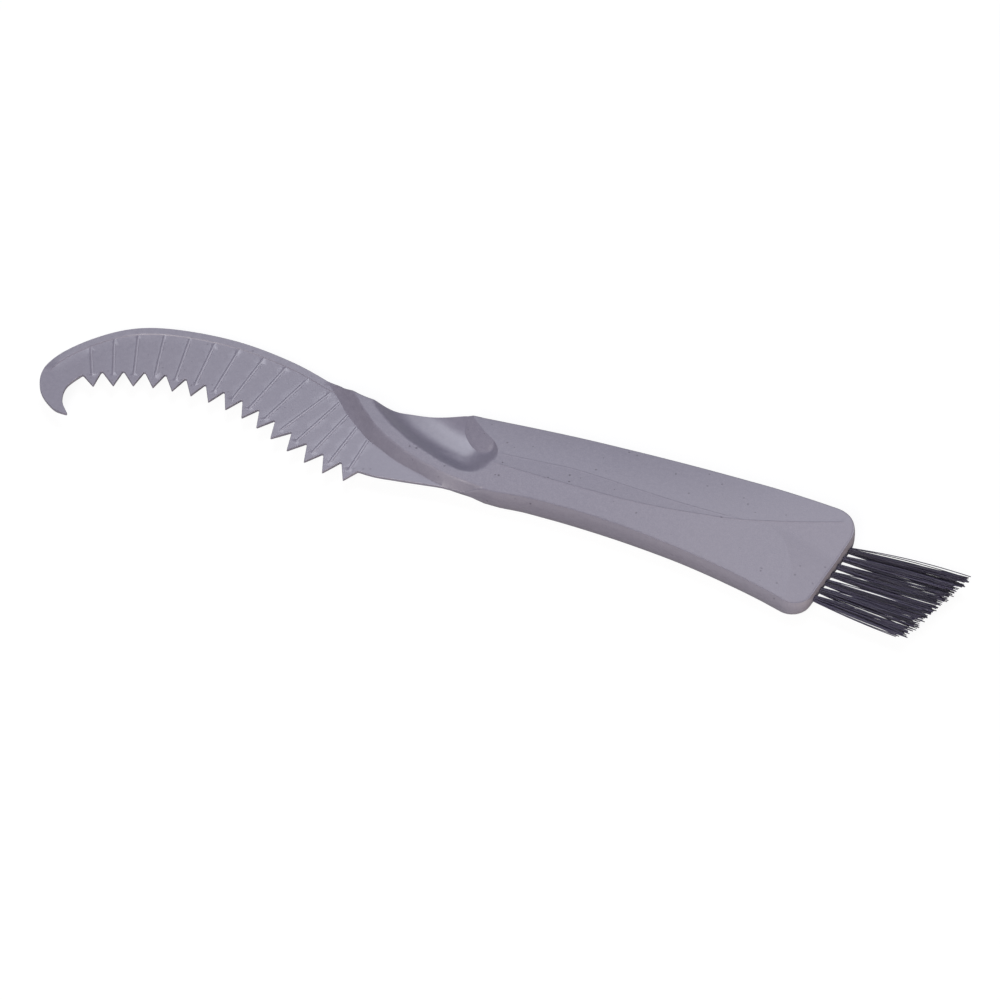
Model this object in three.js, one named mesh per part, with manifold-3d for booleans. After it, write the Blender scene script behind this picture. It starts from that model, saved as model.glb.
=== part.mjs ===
// Sprocket cleaning brush: a flat moulded claw and grip, with a row of bristle tufts stapled in its end.
// X runs along the tool from the claw to the brush, Y across it from the toothed side, and Z is its
// thickness. Plan places are measured from the waist of the grip, on its toothed side.
import * as THREE from "three";
import { mergeVertices } from "three/addons/utils/BufferGeometryUtils.js";
import Module from "manifold-3d";

// Grip sizes, in millimetres and degrees.
const gripThickness = 8;
const waistWidth = 22.5;
const gripReach = 58.1;
const nearEdgeRadius = 238;
const nearEndRadius = 210;
const farEdgeRadius = 526;
const farCrestShift = 37;
const endSkew = 11.8;
const nearCornerRadius = 6;
const farCornerRadius = 6.5;
const edgeRadius = 0.9;
const farSideDrop = 0.9;
const endPanelLength = 11;
const nearEndDrop = 1.4;
const farEndDrop = 0.5;
const neckRunOut = 34;
const scoopWidth = 16;
const scoopDepth = 2.8;
const scoopTurn = -29;

// Claw sizes.
const bladeThickness = 0.8;
const rimThickness = 1.8;
const rimWidth = 2.2;
const ribWidth = 0.9;
const firstRibLean = -28;
const ribLeanStep = 5.1;
const firstGapLean = -29.3;
const gapLeanStep = 4.7;
const toothPitch = 4.98;
const heelPitch = 5.66;
const fineTeeth = 11;
const toothDepth = 4.95;
const heelRun = 2.4;
const heelRise = 3.8;

// Brush sizes.
const tuftCount = 7;
const tuftPitch = 2.74;
const tuftDiameter = 1.4;
const tuftReach = 25.6;
const tipPitch = 3.3;
const tipSkew = 19.8;
const tipDrift = 0.9;
const rowOffset = 14.15;
const strandsPerTuft = 46;
const strandRadius = 0.055;
const tuftTipWidth = 2.9;
const tuftTipHeight = 4.2;
const trimRaggedness = 1.6;
const tuftsPerSlice = 2;
const sliceDepth = 0.9;
const sliceHeight = 3.4;
const holeDepth = 8;
const anchorSpan = 3.2;
const anchorWidth = 1.6;
const anchorGauge = 0.35;
const fitClearance = 0.25;

// Plan places that the claw's curves run through, from the hook tip round the spine to the grip.
const spinePlaces = [
  [-131.3, -15.3],
  [-135.7, -14.9],
  [-141.3, -10.6],
  [-143.5, -3.3],
  [-138.9, 5.9],
  [-129.7, 14.8],
  [-118.6, 19.3],
  [-102, 21.4],
  [-85.8, 20.1],
  [-72.6, 16.8],
];
const neckPlaces = [
  [-65, 14.6],
  [-57, 14.1],
  [-46, 15.9],
];
const toothTipPlaces = [
  [-129.6, -4.7],
  [-118.1, -0.3],
  [-105.4, 1.3],
  [-90.9, -0.6],
  [-76.4, -6.0],
  [-65.9, -9.2],
  [-59.6, -9.6],
];
const hookInnerPlaces = [
  [-133.6, -2.3],
  [-135.6, -7.3],
  [-134.6, -11.8],
];
const stepFootPlaces = [
  [-73.2, 15.3],
  [-57, 2.9],
  [-37.3, -2.9],
];
const stepTopPlaces = [
  [-67.4, 14.6],
  [-51.2, 3.2],
  [-24.3, -1.6],
];
const scoopPlace = [-34.8, 8];

const wasm = await Module();
wasm.setup();

const rad = THREE.MathUtils.degToRad;
const halfGrip = gripThickness / 2;
const joinDepth = 0.4;
const margin = 12;

// Turns a closed geometry into a solid that can be joined and cut.
function solid(geometry) {
  const bare = new THREE.BufferGeometry();
  bare.setAttribute("position", geometry.getAttribute("position").clone());
  if (geometry.index) bare.setIndex(geometry.index.clone());
  const merged = mergeVertices(bare, 1e-4);
  return new wasm.Manifold(
    new wasm.Mesh({
      numProp: 3,
      vertProperties: new Float32Array(merged.attributes.position.array),
      triVerts: new Uint32Array(merged.index.array),
    }),
  );
}

// Gives a finished solid back as a geometry.
function geometryOf(body) {
  const mesh = body.getMesh();
  const geometry = new THREE.BufferGeometry();
  geometry.setAttribute("position", new THREE.BufferAttribute(mesh.vertProperties, 3));
  geometry.setIndex(new THREE.BufferAttribute(mesh.triVerts, 1));
  geometry.computeVertexNormals();
  return geometry;
}

function joinAll(bodies) {
  return bodies.reduce((whole, body) => whole.add(body));
}

const at = ([x, y]) => new THREE.Vector2(x, y);
const curveThrough = (places) => new THREE.SplineCurve(places.map(at));

// A plate of the given outline, centred on the middle plane.
function plate(points, thickness) {
  const flat = { depth: thickness, bevelEnabled: false };
  return solid(new THREE.ExtrudeGeometry(new THREE.Shape(points), flat).translate(0, 0, -thickness / 2));
}

// The two long edges of the grip are arcs with their crests at the waist and past the middle. The near
// one curves in more tightly towards the brush.
function nearEdge(x) {
  const radius = x < 0 ? nearEdgeRadius : nearEndRadius;
  return Math.sqrt(radius ** 2 - x ** 2) - radius;
}

function farEdge(x) {
  const crest = waistWidth + farEdgeRadius - Math.sqrt(farEdgeRadius ** 2 - farCrestShift ** 2);
  return crest + Math.sqrt(farEdgeRadius ** 2 - (x - farCrestShift) ** 2) - farEdgeRadius;
}

// The end line leans over, so its place along the grip changes with its place across it.
const endLine = (y) => gripReach + y * Math.tan(rad(endSkew));

function endCorner(edge) {
  const x = endLine(edge(gripReach));
  return at([x, edge(x)]);
}

const nearCorner = endCorner(nearEdge);
const farCorner = endCorner(farEdge);

const stepFoot = curveThrough(stepFootPlaces);
const stepTop = curveThrough(stepTopPlaces);
const spine = curveThrough(spinePlaces);
const toothTips = curveThrough(toothTipPlaces);

// The far edge of the neck runs from the spine, past the thumb scoop, to the far edge of the grip.
const neckEnd = [-neckRunOut, farEdge(-neckRunOut)];
const neck = curveThrough([spinePlaces.at(-1), ...neckPlaces, neckEnd]);

// A row of points across the step, from its top line at reach 0 to its foot on the blade at reach 1.
// The slope is carried on past its foot, where the blade hides it, and the grip blank starts there.
const stepColumns = 12;
const slopeReach = 1.2;
const blankReach = 1.1;

function stepRow(reach) {
  return Array.from({ length: stepColumns + 1 }, (_, j) => {
    const t = 1 - j / stepColumns;
    const p = stepTop.getPoint(t).lerp(stepFoot.getPoint(t), reach);
    return new THREE.Vector3(p.x, p.y, THREE.MathUtils.lerp(halfGrip, bladeThickness / 2, reach));
  });
}

// A corner between two straight runs, as an arc that is tangent to both.
function roundCorner(before, corner, after, radius, steps = 6) {
  const into = before.clone().sub(corner).normalize();
  const out = after.clone().sub(corner).normalize();
  const half = Math.acos(into.dot(out)) / 2;
  const centre = into.clone().add(out).normalize().multiplyScalar(radius / Math.sin(half)).add(corner);
  const start = into.multiplyScalar(radius / Math.tan(half)).add(corner).sub(centre);
  const sweep = Math.PI - 2 * half;
  const turn = (i) => start.clone().rotateAround(new THREE.Vector2(), (sweep * i) / steps).add(centre);
  return Array.from({ length: steps + 1 }, (_, i) => turn(i));
}

// Plan outline of the grip, from the foot of the step along the near edge and round the end.
function gripOutline() {
  const steps = 14;
  const nearStart = stepFootPlaces.at(-1)[0];
  const nearStop = nearCorner.x - 2 * nearCornerRadius;
  const farStop = farCorner.x - 2 * farCornerRadius;
  const along = (from, to, edge) =>
    Array.from({ length: steps + 1 }, (_, i) => {
      const x = THREE.MathUtils.lerp(from, to, i / steps);
      return at([x, edge(x)]);
    });
  const nearRun = along(nearStart, nearStop, nearEdge);
  const farRun = along(farStop, neckEnd[0], farEdge);
  return [
    ...nearRun,
    ...roundCorner(nearRun.at(-1), nearCorner, farCorner, nearCornerRadius),
    ...roundCorner(nearCorner, farCorner, farRun[0], farCornerRadius),
    ...farRun,
    ...neck.getPoints(12).reverse().slice(1),
    ...stepRow(blankReach).reverse().map((p) => at([p.x, p.y])),
  ];
}

// Grip blank: the outline with rounded edges above and below.
function gripBlank() {
  const body = new THREE.ExtrudeGeometry(new THREE.Shape(gripOutline()), {
    depth: gripThickness - 2 * edgeRadius,
    bevelThickness: edgeRadius,
    bevelSize: edgeRadius,
    bevelOffset: -edgeRadius,
    bevelSegments: 2,
  });
  return solid(body.translate(0, 0, -halfGrip + edgeRadius));
}

// A closed block between a sheet of points and its mirror image below the middle plane.
function mirroredBlock(rows) {
  const count = rows[0].length;
  const position = [];
  for (const side of [1, -1]) {
    for (const row of rows) {
      for (const p of row) position.push(p.x, p.y, p.z * side);
    }
  }
  const top = (i, j) => i * count + j;
  const low = (i, j) => rows.length * count + top(i, j);
  const index = [];
  const quad = (a, b, c, d) => index.push(a, b, c, a, c, d);
  for (let i = 0; i < rows.length - 1; i++) {
    for (let j = 0; j < count - 1; j++) {
      quad(top(i, j), top(i + 1, j), top(i + 1, j + 1), top(i, j + 1));
      quad(low(i, j), low(i, j + 1), low(i + 1, j + 1), low(i + 1, j));
    }
    quad(top(i, 0), low(i, 0), low(i + 1, 0), top(i + 1, 0));
    quad(top(i, count - 1), top(i + 1, count - 1), low(i + 1, count - 1), low(i, count - 1));
  }
  for (let j = 0; j < count - 1; j++) {
    const last = rows.length - 1;
    quad(top(0, j), top(0, j + 1), low(0, j + 1), low(0, j));
    quad(top(last, j), low(last, j), low(last, j + 1), top(last, j + 1));
  }
  const geometry = new THREE.BufferGeometry();
  geometry.setAttribute("position", new THREE.Float32BufferAttribute(position, 3));
  return solid(geometry.setIndex(index));
}

// The faces of the grip: a slope up from the blade along the step, then a flat near half, and a far
// half that falls away towards the far edge. A panel at the brush end thins down to the end face.
function gripFaces() {
  const rowsAlong = 6;
  const share = (j) => j / stepColumns;
  const across = (x, j) => THREE.MathUtils.lerp(nearEdge(x), farEdge(x), share(j));
  const place = (x, j, fall) => new THREE.Vector3(x, across(x, j), halfGrip - fall);
  const panelStart = (j) => endLine(across(gripReach, j)) - endPanelLength;
  const top = stepRow(0);
  const rows = [stepRow(slopeReach), top];
  for (let i = 1; i <= rowsAlong; i++) {
    rows.push(
      top.map((p, j) => {
        const x = THREE.MathUtils.lerp(p.x, panelStart(j), i / rowsAlong);
        const fall = Math.max(0, 2 * share(j) - 1) ** 2 * Math.max(0, 1 - x / gripReach);
        return place(x, j, farSideDrop * Math.min(fall, 1));
      }),
    );
  }
  const run = endPanelLength + margin;
  const endDrop = (j) => THREE.MathUtils.lerp(nearEndDrop, farEndDrop, share(j) ** 2);
  rows.push(top.map((_, j) => place(panelStart(j) + run, j, (endDrop(j) * run) / endPanelLength)));
  // The block stands wide of the outline on both long sides, so that only its faces cut.
  for (const row of rows) {
    const near = row[0].clone().add(new THREE.Vector3(0, -margin, 0));
    const far = row.at(-1).clone().add(new THREE.Vector3(0, margin, 0));
    row.unshift(near);
    row.push(far);
  }
  return mirroredBlock(rows);
}

// The thumb scoop is a round-bottomed trough with a ball end, sunk in each face of the grip. It starts
// at its place on the grip and runs out through the far edge.
function thumbScoop(side) {
  const radius = ((scoopWidth / 2) ** 2 + scoopDepth ** 2) / (2 * scoopDepth);
  const run = 3 * scoopWidth;
  const trough = new THREE.CapsuleGeometry(radius, run, 10, 40);
  trough.rotateZ(Math.PI / 2);
  trough.translate(-run / 2, 0, 0);
  trough.rotateZ(rad(scoopTurn));
  trough.translate(scoopPlace[0], scoopPlace[1], side * (halfGrip - scoopDepth + radius));
  return solid(trough);
}

// Tooth tips follow one curve, with a wider pitch near the heel.
function tipPoints() {
  const length = toothTips.getLength();
  const points = [];
  let along = 0;
  while (along <= length + joinDepth) {
    points.push(toothTips.getPointAt(Math.min(1, along / length)));
    along += points.length < fineTeeth ? toothPitch : heelPitch;
  }
  return points;
}

const tips = tipPoints();

// The gaps between the teeth fan out with the claw, and lean back again towards the heel.
function toothLine() {
  const line = [tips[0]];
  for (let i = 1; i < tips.length; i++) {
    const turnBack = Math.max(0, i - fineTeeth);
    const lean = rad(firstGapLean + gapLeanStep * (i - 1 - 2 * turnBack));
    const gap = tips[i - 1].clone().add(tips[i]).multiplyScalar(0.5);
    line.push(gap.add(at([Math.sin(lean) * toothDepth, Math.cos(lean) * toothDepth])), tips[i]);
  }
  return line;
}

// Claw outline: round the spine from the hook tip, into the grip, and back along the teeth.
function clawOutline() {
  const lastTip = tips.at(-1);
  const heel = at([lastTip.x + heelRun, lastTip.y + heelRise]);
  const nearJoin = stepTopPlaces.at(-1)[0];
  const hookInner = new THREE.SplineCurve([
    ...hookInnerPlaces.map(at),
    at(spinePlaces[0]),
  ]);
  return [
    ...spine.getPoints(36),
    ...neck.getPoints(6).slice(1, -2),
    at([nearJoin, nearEdge(nearJoin) + edgeRadius]),
    at([stepFootPlaces.at(-1)[0], nearEdge(stepFootPlaces.at(-1)[0])]),
    heel,
    ...toothLine().reverse(),
    ...hookInner.getPoints(9).slice(0, -1),
  ].reverse();
}

// The rim is a band along the spine, which starts at the back of the hook.
function rimBand() {
  const steps = 30;
  const start = 0.3;
  const inner = [];
  const outer = [];
  for (let i = 0; i <= steps; i++) {
    const t = THREE.MathUtils.lerp(start, 1, i / steps);
    const p = spine.getPoint(t);
    const tangent = spine.getTangent(t);
    const inward = at([tangent.y, -tangent.x]);
    inner.push(p.clone().addScaledVector(inward, rimWidth));
    outer.push(p.clone().addScaledVector(inward, -rimWidth));
  }
  return plate([...inner, ...outer.reverse()], rimThickness);
}

// A rib stands on the middle of each tooth and fans out to the rim, or to the foot of the step.
function ribBars() {
  const length = margin * 3;
  return tips.map((tip, i) => {
    const turnBack = Math.max(0, i - (fineTeeth - 1));
    const lean = firstRibLean + ribLeanStep * (i - 2 * turnBack);
    const bar = new THREE.BoxGeometry(ribWidth, length, rimThickness);
    bar.translate(0, length / 2 - margin / 4, 0);
    bar.rotateZ(-rad(lean));
    return solid(bar.translate(tip.x, tip.y, 0));
  });
}

function clawBody() {
  const outline = clawOutline();
  const raised = joinAll([rimBand(), ...ribBars()]).intersect(plate(outline, rimThickness));
  return plate(outline, bladeThickness).add(raised);
}

// Tuft places along the end line, in a row whose middle is set from the near corner of the end.
const rowDirection = at([Math.sin(rad(endSkew)), Math.cos(rad(endSkew))]);
const rowMiddle = nearCorner.y + rowOffset;
const rowCentre = at([endLine(rowMiddle), rowMiddle]);
const laneOf = (i) => i - (tuftCount - 1) / 2;
const tuftRoot = (i) => rowCentre.clone().addScaledVector(rowDirection, laneOf(i) * tuftPitch);

// A box on the end face that spans some of the tuft lanes and reaches in behind the face.
function endBox(fromLane, toLane, grow) {
  const depth = sliceDepth + grow + margin;
  const across = (toLane - fromLane) * tuftPitch + 2 * grow;
  const box = new THREE.BoxGeometry(depth, across, sliceHeight + 2 * grow);
  box.rotateZ(-rad(endSkew));
  const middle = tuftRoot((fromLane + toLane - 1) / 2);
  const outward = at([Math.cos(rad(endSkew)), -Math.sin(rad(endSkew))]);
  middle.addScaledVector(outward, margin - depth / 2);
  return solid(box.translate(middle.x, middle.y, 0));
}

// A round plug or hole along the tool, from the end face inwards.
function rootRod(i, diameter, depth, out) {
  const root = tuftRoot(i);
  const rod = new THREE.CylinderGeometry(diameter / 2, diameter / 2, depth + out, 16);
  rod.rotateZ(Math.PI / 2);
  return solid(rod.translate(root.x + (out - depth) / 2, root.y, 0));
}

const anchorSetBack = holeDepth - anchorWidth;

function anchorBar(i, grow) {
  const root = tuftRoot(i);
  const size = (length) => length + 2 * grow;
  const bar = new THREE.BoxGeometry(size(anchorWidth), size(anchorGauge), size(anchorSpan));
  return bar.translate(root.x - anchorSetBack, root.y, 0);
}

// The filaments of one tuft start inside its root and spread evenly to the tip, so that none crosses
// another.
function tuftStrands(i) {
  const root = tuftRoot(i);
  const lane = laneOf(i);
  const tipMiddle = at([
    rowCentre.x + tuftReach + lane * tipPitch * Math.tan(rad(tipSkew)),
    rowCentre.y + tipDrift + lane * tipPitch,
  ]);
  const packRadius = tuftDiameter / 2 - 2 * strandRadius;
  const widen = tuftTipWidth / 2 / packRadius;
  const heighten = tuftTipHeight / 2 / packRadius;
  const goldenTurn = Math.PI * (3 - Math.sqrt(5));
  const position = [];
  const index = [];
  for (let n = 0; n < strandsPerTuft; n++) {
    const r = packRadius * Math.sqrt((n + 0.5) / strandsPerTuft);
    const across = r * Math.cos(n * goldenTurn);
    const up = r * Math.sin(n * goldenTurn);
    const y = root.y + across;
    const from = new THREE.Vector3(root.x + across * Math.tan(rad(endSkew)), y, up);
    const ragged = trimRaggedness * (((n * 0.618 + i * 0.37) % 1) - 0.5);
    const to = new THREE.Vector3(
      tipMiddle.x + across * widen * Math.tan(rad(tipSkew)),
      tipMiddle.y + across * widen,
      up * heighten,
    );
    const reach = to.clone().sub(from);
    const unit = reach.clone().normalize();
    to.addScaledVector(unit, ragged);
    from.addScaledVector(unit, -2 * joinDepth);
    const first = position.length / 3;
    for (const end of [from, to]) {
      for (let k = 0; k < 3; k++) {
        const turn = (k * 2 * Math.PI) / 3 + n;
        position.push(end.x, end.y + strandRadius * Math.cos(turn), end.z + strandRadius * Math.sin(turn));
      }
    }
    for (let k = 0; k < 3; k++) {
      const a = first + k;
      const b = first + ((k + 1) % 3);
      index.push(a, b, b + 3, a, b + 3, a + 3);
    }
    index.push(first, first + 2, first + 1, first + 3, first + 4, first + 5);
  }
  const geometry = new THREE.BufferGeometry();
  geometry.setAttribute("position", new THREE.Float32BufferAttribute(position, 3));
  return solid(geometry.setIndex(index));
}

const tuftNumbers = Array.from({ length: tuftCount }, (_, i) => i);
const blank = gripBlank();

// Handle: claw and grip in one moulding, with the scoops, the end seat, the holes and the anchor slots.
function handleGeometry() {
  let body = blank.intersect(gripFaces());
  body = body.subtract(thumbScoop(1)).subtract(thumbScoop(-1)).add(clawBody());
  body = body.subtract(endBox(0, tuftCount, fitClearance));
  for (const i of tuftNumbers) {
    body = body.subtract(rootRod(i, tuftDiameter + 2 * fitClearance, holeDepth, margin));
    body = body.subtract(solid(anchorBar(i, fitClearance)));
  }
  return geometryOf(body);
}

// Tufts that share a slice: the slice, flush with the end face, the folded roots round their anchors,
// and the filaments.
function tuftGeometry(numbers) {
  const gap = fitClearance / 2 / tuftPitch;
  let body = endBox(numbers[0] + gap, numbers.at(-1) + 1 - gap, 0).intersect(blank);
  for (const i of numbers) {
    body = body.add(rootRod(i, tuftDiameter, holeDepth - fitClearance, -joinDepth));
    body = body.subtract(solid(anchorBar(i, fitClearance)));
    body = body.add(tuftStrands(i));
  }
  return geometryOf(body);
}

const plastic = () => new THREE.MeshStandardMaterial({ color: 0x918d9b, roughness: 0.5, metalness: 0 });
const nylon = () => new THREE.MeshStandardMaterial({ color: 0x2b2a33, roughness: 0.45, metalness: 0 });
const wire = () => new THREE.MeshStandardMaterial({ color: 0xb9a15c, roughness: 0.35, metalness: 1 });

const tool = new THREE.Group();

function addPiece(name, geometry, material) {
  const mesh = new THREE.Mesh(geometry, material);
  mesh.name = name;
  tool.add(mesh);
}

addPiece("handle", handleGeometry(), plastic());
for (let first = 0; first < tuftCount; first += tuftsPerSlice) {
  const numbers = tuftNumbers.slice(first, first + tuftsPerSlice);
  const label = numbers.map((i) => i + 1).join("_");
  addPiece(`bristle_tufts_${label}`, tuftGeometry(numbers), nylon());
}
for (const i of tuftNumbers) addPiece(`tuft_anchor_${i + 1}`, anchorBar(i, 0), wire());

// The part stands on the flat of its grip, with its origin under the middle of its box.
const box = new THREE.Box3().setFromObject(tool);
const middle = box.getCenter(new THREE.Vector3());
tool.position.set(-middle.x, -middle.y, -box.min.z);

const part = new THREE.Group();
part.add(tool);
export default part;
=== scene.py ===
import math

import bpy
import numpy as np
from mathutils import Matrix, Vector
from mathutils.geometry import delaunay_2d_cdt
from mathutils.kdtree import KDTree


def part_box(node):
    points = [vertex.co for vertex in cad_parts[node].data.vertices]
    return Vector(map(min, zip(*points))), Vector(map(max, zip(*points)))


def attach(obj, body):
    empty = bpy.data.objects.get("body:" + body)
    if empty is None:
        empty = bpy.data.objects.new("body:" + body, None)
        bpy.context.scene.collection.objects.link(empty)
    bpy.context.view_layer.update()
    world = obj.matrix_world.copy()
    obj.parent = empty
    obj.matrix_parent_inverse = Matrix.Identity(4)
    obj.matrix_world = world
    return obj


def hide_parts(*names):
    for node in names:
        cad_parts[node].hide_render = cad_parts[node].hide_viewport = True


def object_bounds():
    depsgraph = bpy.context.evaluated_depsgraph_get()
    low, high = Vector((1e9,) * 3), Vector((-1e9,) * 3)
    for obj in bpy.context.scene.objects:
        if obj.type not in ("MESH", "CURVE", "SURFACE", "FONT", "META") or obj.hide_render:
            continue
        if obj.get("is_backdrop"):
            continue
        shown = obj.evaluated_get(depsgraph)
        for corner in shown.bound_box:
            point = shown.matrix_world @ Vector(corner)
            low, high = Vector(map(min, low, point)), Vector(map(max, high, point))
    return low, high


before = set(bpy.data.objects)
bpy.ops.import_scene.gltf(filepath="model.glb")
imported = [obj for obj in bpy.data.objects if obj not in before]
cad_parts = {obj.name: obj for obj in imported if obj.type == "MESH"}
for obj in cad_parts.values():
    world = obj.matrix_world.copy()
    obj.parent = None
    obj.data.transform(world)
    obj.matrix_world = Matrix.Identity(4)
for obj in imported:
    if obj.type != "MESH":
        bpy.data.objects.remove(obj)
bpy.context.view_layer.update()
scene = bpy.context.scene
scene.view_settings.view_transform = "Standard"
mm = 0.001
print("frame loaded:", len(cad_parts), "solids")


class Wire:
    # One socket of a node tree. Arithmetic on a wire adds Math nodes.
    def __init__(self, tree, socket=None):
        self.tree, self.socket = tree, socket

    def node(self, kind, settings, inputs, out=0):
        made = self.tree.nodes.new(kind)
        for key, value in settings.items():
            setattr(made, key, value)
        live = [s for s in made.inputs if s.enabled]
        for key, value in inputs.items():
            target = live[key] if isinstance(key, int) else next(s for s in live if s.name == key)
            for one in value if isinstance(value, list) else [value]:
                if isinstance(one, Wire):
                    self.tree.links.new(one.socket, target)
                else:
                    target.default_value = one
        shown = [s for s in made.outputs if s.enabled]
        if not shown:
            return self
        return Wire(self.tree, shown[out] if isinstance(out, int) else made.outputs[out])

    def other(self, name):
        return Wire(self.tree, self.socket.node.outputs[name])

    def math(self, operation, *values):
        return self.node("ShaderNodeMath", {"operation": operation}, dict(enumerate((self, *values))))

    def __add__(self, value):
        return self.math("ADD", value)

    def __sub__(self, value):
        return self.math("SUBTRACT", value)

    def __mul__(self, value):
        return self.math("MULTIPLY", value)

    def __truediv__(self, value):
        return self.math("DIVIDE", value)

    def __rsub__(self, value):
        return self.node("ShaderNodeMath", {"operation": "SUBTRACT"}, {0: value, 1: self})

    __radd__, __rmul__ = __add__, __mul__


def linear(red, green, blue):
    # A colour picked in sRGB steps, as Blender's sockets take it.
    return tuple((c / 255 / 12.92) if c < 11 else ((c / 255 + 0.055) / 1.055) ** 2.4 for c in (red, green, blue))


def linear4(colour):
    return (*linear(*colour), 1)


def shade(name):
    material = bpy.data.materials.new(name)
    material.use_nodes = True
    material.node_tree.nodes.clear()
    return material, Wire(material.node_tree)


def coat(wire, surface):
    wire.node("ShaderNodeOutputMaterial", {}, {"Surface": surface})


def mixColours(wire, share, first, second):
    return wire.node("ShaderNodeMix", {"data_type": "RGBA"}, {"Factor": share, "A": first, "B": second})


# Moulded plastic: lavender grey, fine spark grain on the flats, tiny pits, paler worn edges, and a painted highlight
# that makes the wide end paler.
plastic = {
    "body": (130, 126, 142), "cool": (124, 122, 140), "warm": (136, 130, 141), "paleWornAndLit": (158, 154, 166),
    "pit": (88, 82, 96), "bodyShare": 0.55, "driftScale": 28,
    "fineScale": 900, "fineMottle": 0.3, "fineRough": 0.08, "fineHeight": 0.25,
    "grainScale": 3400, "grainMottle": 0.5, "grainRough": 0.2, "grainDepth": 0.00005, "bump": 0.8,
    "mottleBase": 0.1, "darkShare": 0.8, "wearShare": 0.35,
    "pitScale": 420, "pitSize": 0.11, "patchScale": 130, "patchLevel": 0.51, "pitShare": 0.8, "pitHeight": 1.5,
    "paintedEndLight": 0.3, "paintedLightFrom": 0.03, "paintedLightOver": 0.05, "rough": 0.34, "ior": 1.5, "specular": 0.9,
}


def plasticMaterial():
    material, w = shade("lavender_plastic")
    place = w.node("ShaderNodeTexCoord", {}, {}, "Object")
    grain = w.node("ShaderNodeAttribute", {"attribute_name": "grain"}, {}, "Fac")
    wear = w.node("ShaderNodeAttribute", {"attribute_name": "wear"}, {}, "Fac")
    noise = lambda scale, detail: w.node(
        "ShaderNodeTexNoise", {}, {"Vector": place, "Scale": scale, "Detail": detail, "Roughness": 0.6})
    drift = noise(plastic["driftScale"], 3)
    fine = noise(plastic["fineScale"], 2)
    sparkle = noise(plastic["grainScale"], 2)
    cell = w.node("ShaderNodeTexVoronoi", {}, {"Vector": place, "Scale": plastic["pitScale"]})
    patch = w.node("ShaderNodeTexNoise", {}, {"Vector": place, "Scale": plastic["patchScale"], "Detail": 1})
    pitted = cell.math("LESS_THAN", plastic["pitSize"]) * patch.math("GREATER_THAN", plastic["patchLevel"]) * grain
    # The pale colour serves the light specks, the worn edges and the painted highlight on the wide end.
    paleWornAndLit, pit = linear4(plastic["paleWornAndLit"]), linear4(plastic["pit"])
    colour = mixColours(w, drift, linear4(plastic["cool"]), linear4(plastic["warm"]))
    colour = mixColours(w, plastic["bodyShare"], colour, linear4(plastic["body"]))
    mottle = (fine - 0.5) * plastic["fineMottle"] + (sparkle - 0.5) * plastic["grainMottle"] * grain
    colour = mixColours(w, (mottle + plastic["mottleBase"]).math("MAXIMUM", 0), colour, paleWornAndLit)
    colour = mixColours(w, (plastic["mottleBase"] - mottle).math("MAXIMUM", 0) * plastic["darkShare"], colour, pit)
    colour = mixColours(w, wear * plastic["wearShare"], colour, paleWornAndLit)
    colour = mixColours(w, pitted * plastic["pitShare"], colour, pit)
    # Painted highlight: the wide end is paler, painted towards the pale colour as if more light fell on it.
    toEnd = w.node("ShaderNodeSeparateXYZ", {}, {"Vector": place}, "X")
    paintedEndLight = ((toEnd - plastic["paintedLightFrom"]) / plastic["paintedLightOver"]).math("MAXIMUM", 0).math("MINIMUM", 1)
    colour = mixColours(w, paintedEndLight * plastic["paintedEndLight"], colour, paleWornAndLit)
    rough = grain * plastic["grainRough"] + (fine - 0.5) * plastic["fineRough"] + plastic["rough"]
    height = sparkle * grain + fine * plastic["fineHeight"] - pitted * plastic["pitHeight"]
    bump = w.node("ShaderNodeBump", {}, {
        "Strength": plastic["bump"], "Distance": plastic["grainDepth"], "Height": height})
    coat(w, w.node("ShaderNodeBsdfPrincipled", {}, {
        "Base Color": colour, "Roughness": rough, "Normal": bump, "IOR": plastic["ior"],
        "Specular IOR Level": plastic["specular"]}))
    return material


# Nylon filament: near black, each strand a little different in tone; the paler purple streaks along the strands are a
# painted sheen.
nylon = {
    "deep": (26, 24, 36), "light": (72, 67, 94), "toneShare": 0.7, "sheenStreakShare": 0.5, "shareFloor": 0.15,
    "streaks": (160, 1500, 1500), "rough": 0.36, "streakRough": 0.2, "bump": 0.3, "bumpDepth": 0.00003,
    "ior": 1.53, "specular": 0.3,
}


def nylonMaterial():
    material, w = shade("dark_nylon")
    place = w.node("ShaderNodeTexCoord", {}, {}, "Object")
    tone = w.node("ShaderNodeAttribute", {"attribute_name": "tone"}, {}, "Fac")
    along = w.node("ShaderNodeMapping", {}, {"Vector": place, "Scale": nylon["streaks"]})
    streak = w.node("ShaderNodeTexNoise", {}, {"Vector": along, "Scale": 1, "Detail": 2})
    share = tone * nylon["toneShare"] + streak * nylon["sheenStreakShare"] - nylon["shareFloor"]
    share = share.math("MAXIMUM", 0)
    # Painted sheen: the paler purple colour, in streaks along each strand, stands in for the strands' sheen; the
    # per-strand tone differs at random.
    colour = mixColours(w, share, linear4(nylon["deep"]), linear4(nylon["light"]))
    rough = nylon["rough"] + (streak - 0.5) * nylon["streakRough"]
    bump = w.node("ShaderNodeBump", {}, {
        "Strength": nylon["bump"], "Distance": nylon["bumpDepth"], "Height": streak})
    coat(w, w.node("ShaderNodeBsdfPrincipled", {}, {
        "Base Color": colour, "Roughness": rough, "Normal": bump, "IOR": nylon["ior"],
        "Specular IOR Level": nylon["specular"]}))
    return material


# Anchor wire: drawn brass.
anchorWire = {
    "bright": (205, 178, 104), "dull": (150, 122, 66), "lines": (6000, 6000, 500), "rough": 0.3, "lineRough": 0.15,
    "bump": 0.4, "bumpDepth": 0.00002,
}


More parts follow.
